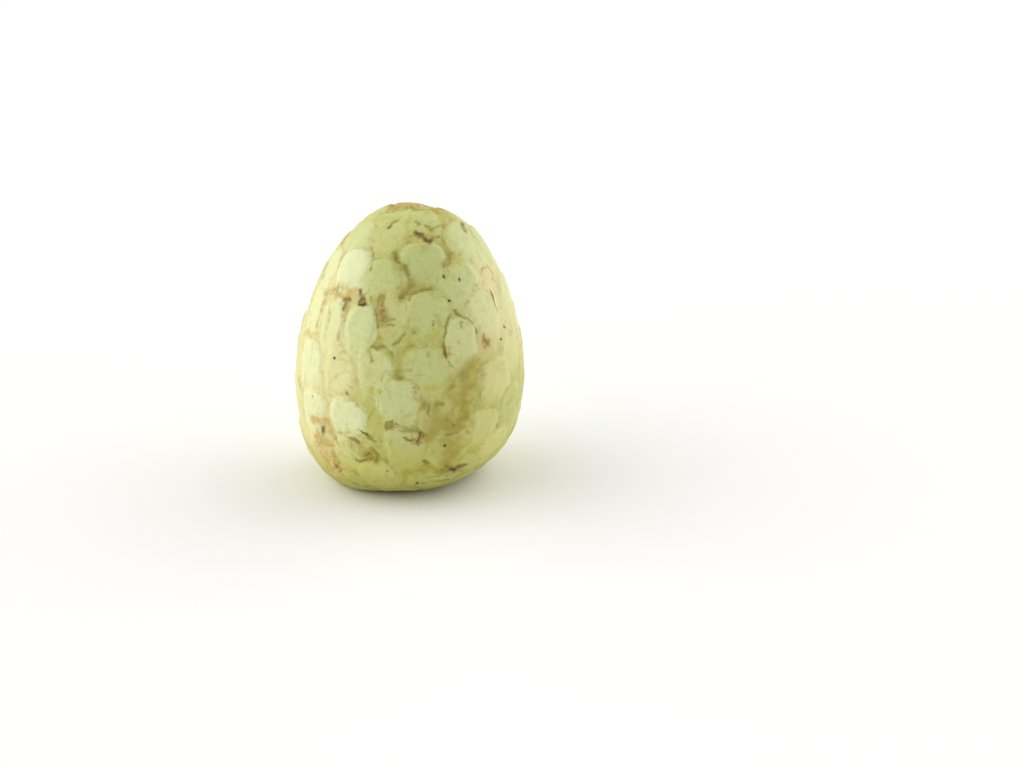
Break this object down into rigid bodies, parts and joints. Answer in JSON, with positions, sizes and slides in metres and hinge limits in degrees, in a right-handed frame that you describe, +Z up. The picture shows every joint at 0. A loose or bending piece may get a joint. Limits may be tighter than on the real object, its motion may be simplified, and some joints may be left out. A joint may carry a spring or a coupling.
{
  "type": "custard apple",
  "caption": "Whole custard apple (cherimoya) with a pale green skin of overlapping tongue-shaped carpels, standing on its stem end, with a woody stem stub in the pit beneath.",
  "frame": {"origin": "middle of the footprint, on the surface that the fruit stands on", "axes": "+Z up, from the stem end to the apex; -Y faces the side that shows best"},
  "size_m": [0.0886, 0.0874, 0.1074],
  "materials": {
    "skin": "satin",
    "stem_wood": "matte"
  },
  "bodies": {
    "root": {"fruit": "skin", "stem_stub": "stem_wood"}
  },
  "joints": []
}
